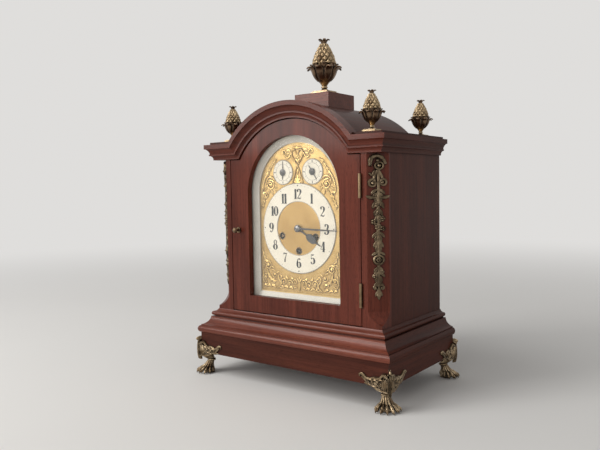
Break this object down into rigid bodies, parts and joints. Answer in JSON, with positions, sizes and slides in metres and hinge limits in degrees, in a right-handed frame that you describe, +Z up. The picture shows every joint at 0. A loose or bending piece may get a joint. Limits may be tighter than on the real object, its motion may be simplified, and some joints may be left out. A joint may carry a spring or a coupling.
{
  "type": "bracket clock",
  "caption": "Break-arch wooden table clock with a hinged glazed door, arched dial, spring movement with pendulum, cast finials and claw feet.",
  "frame": {"origin": "on the surface that the clock stands on, under the middle of its base", "axes": "+X to the right seen from the dial side, +Y from the dial to the back, +Z up"},
  "size_m": [0.345, 0.2051, 0.5085],
  "materials": {
    "mahogany": "satin polish",
    "mahogany_dark": "satin polish",
    "deal": "plain",
    "glass": "polished",
    "silvered": "silvered brass",
    "brass_antique": "aged lacquer",
    "gilt": "gilt",
    "hand_steel": "burnished",
    "plate_brass": "brushed",
    "arbor_steel": "polished",
    "bob_brass": "polished",
    "gong_iron": "blued"
  },
  "bodies": {
    "case": {"plinth_front": "mahogany", "base_moulding_front": "mahogany", "front_stile_left": "mahogany", "front_stile_right": "mahogany", "front_bottom_rail": "mahogany", "arch_head": "mahogany", "cornice_arch": "mahogany", "cornice_shoulders": "mahogany", "plinth_sides": "mahogany_dark", "plinth_back": "mahogany_dark", "base_moulding_sides": "mahogany_dark", "case_side_left": "mahogany_dark", "case_side_right": "mahogany_dark", "cornice_sides": "mahogany_dark", "top_decks": "mahogany_dark", "roof_barrel": "mahogany_dark", "finial_block": "mahogany_dark", "back_frame": "mahogany_dark", "base_board": "deal", "seatboard": "deal", "dial_mask": "deal", "chapter_ring": "silvered", "subdials": "silvered", "hinge_leaves_case": "brass_antique", "finial_centre": "brass_antique", "finials_corner": "brass_antique", "foot_front_left": "brass_antique", "foot_front_right": "brass_antique", "foot_rear_left": "brass_antique", "foot_rear_right": "brass_antique", "corner_garlands": "gilt", "dial_mounts": "gilt", "dial_plate": "gilt", "front_plate": "plate_brass", "back_plate": "plate_brass", "gong_rods": "gong_iron"},
    "front_door": {"door_frame": "mahogany", "door_glass": "glass", "door_slip": "silvered", "hinge_leaves_door": "brass_antique"},
    "front_door_knob": {"door_knob": "brass_antique"},
    "back_door": {"back_door": "mahogany_dark", "hinge_leaves_back_door": "brass_antique"},
    "back_door_knob": {"back_door_knob": "brass_antique"},
    "minute": {"minute_hand": "hand_steel"},
    "hour": {"hour_hand": "hand_steel", "hour_wheel": "plate_brass"},
    "minute_wheel": {"minute_wheel": "plate_brass"},
    "third_arbor": {"third_arbor": "arbor_steel"},
    "centre_arbor": {"centre_arbor": "arbor_steel"},
    "escape": {"escape_arbor": "arbor_steel"},
    "going_barrel": {"going_barrel": "plate_brass"},
    "going_arbor": {"going_arbor": "arbor_steel"},
    "strike_barrel": {"strike_barrel": "plate_brass"},
    "chime_barrel": {"chime_barrel": "plate_brass"},
    "anchor": {"anchor": "arbor_steel"},
    "pendulum": {"pendulum": "bob_brass"},
    "left_subdial_hand": {"subdial_hand_left": "hand_steel"},
    "right_subdial_hand": {"subdial_hand_right": "hand_steel"},
    "hammers": {"hammers": "arbor_steel"}
  },
  "joints": [
    {"name": "front_door_hinge", "type": "hinge", "parent": "case", "child": "front_door", "pos_m": [0.11505, -0.0771, 0.215], "axis": [0, 0, 1], "range_deg": [0, 110]},
    {"name": "front_door_knob_turn", "type": "hinge", "parent": "front_door", "child": "front_door_knob", "pos_m": [-0.101, -0.0666, 0.2236], "axis": [0, 1, 0], "range_deg": [0, 90]},
    {"name": "back_door_hinge", "type": "hinge", "parent": "case", "child": "back_door", "pos_m": [0.1075, 0.1017, 0.215], "axis": [0, 0, -1], "range_deg": [0, 110]},
    {"name": "back_door_knob_turn", "type": "hinge", "parent": "back_door", "child": "back_door_knob", "pos_m": [-0.098, 0.0932, 0.2095], "axis": [0, 1, 0], "range_deg": [0, 90]},
    {"name": "minute_hand_turn", "type": "hinge", "parent": "case", "child": "minute", "pos_m": [0, -0.048, 0.2273], "axis": [0, 1, 0], "continuous": true},
    {"name": "hour_hand_turn", "type": "hinge", "parent": "case", "child": "hour", "pos_m": [0, -0.048, 0.2273], "axis": [0, 1, 0], "continuous": true},
    {"name": "minute_wheel_turn", "type": "hinge", "parent": "case", "child": "minute_wheel", "pos_m": [0, -0.05, 0.2513], "axis": [0, 1, 0], "continuous": true},
    {"name": "third_arbor_turn", "type": "hinge", "parent": "case", "child": "third_arbor", "pos_m": [-0.019, -0.015, 0.2456], "axis": [0, 1, 0], "continuous": true},
    {"name": "centre_arbor_turn", "type": "hinge", "parent": "case", "child": "centre_arbor", "pos_m": [0, -0.015, 0.2273], "axis": [0, 1, 0], "continuous": true},
    {"name": "escape_turn", "type": "hinge", "parent": "case", "child": "escape", "pos_m": [0, -0.005, 0.2603], "axis": [0, 1, 0], "continuous": true},
    {"name": "going_barrel_turn", "type": "hinge", "parent": "case", "child": "going_barrel", "pos_m": [0, -0.03, 0.1947], "axis": [0, 1, 0], "continuous": true},
    {"name": "going_arbor_turn", "type": "hinge", "parent": "case", "child": "going_arbor", "pos_m": [0, -0.03, 0.1947], "axis": [0, 1, 0], "continuous": true},
    {"name": "strike_barrel_turn", "type": "hinge", "parent": "case", "child": "strike_barrel", "pos_m": [-0.0301, -0.005, 0.2157], "axis": [0, 1, 0], "continuous": true},
    {"name": "chime_barrel_turn", "type": "hinge", "parent": "case", "child": "chime_barrel", "pos_m": [0.0301, -0.005, 0.2157], "axis": [0, 1, 0], "continuous": true},
    {"name": "pendulum_swing", "type": "hinge", "parent": "case", "child": "pendulum", "pos_m": [0, 0.0335, 0.2793], "axis": [0, 1, 0], "range_deg": [-4.5, 4.5]},
    {"name": "anchor_rock", "type": "hinge", "parent": "case", "child": "anchor", "pos_m": [0, 0, 0.2793], "axis": [0, 1, 0], "range_deg": [-4.5, 4.5]},
    {"name": "left_subdial_hand_turn", "type": "hinge", "parent": "case", "child": "left_subdial_hand", "pos_m": [-0.0265, -0.059, 0.3084], "axis": [0, 1, 0], "range_deg": [-90, 90]},
    {"name": "right_subdial_hand_turn", "type": "hinge", "parent": "case", "child": "right_subdial_hand", "pos_m": [0.0265, -0.059, 0.3084], "axis": [0, 1, 0], "range_deg": [-145, 120]},
    {"name": "hammer_lift", "type": "hinge", "parent": "case", "child": "hammers", "pos_m": [0, 0.046, 0.15], "axis": [-1, 0, 0], "range_deg": [0, 5]}
  ],
  "couplings": [
    {"joint": "hour_hand_turn", "follows": "minute_hand_turn", "ratio": 0.083333},
    {"joint": "minute_wheel_turn", "follows": "minute_hand_turn", "ratio": -0.33333},
    {"joint": "centre_arbor_turn", "follows": "third_arbor_turn", "ratio": -0.083333},
    {"joint": "escape_turn", "follows": "third_arbor_turn", "ratio": -12.25},
    {"joint": "going_barrel_turn", "follows": "third_arbor_turn", "ratio": 0.010417},
    {"joint": "anchor_rock", "follows": "pendulum_swing", "ratio": 1}
  ]
}
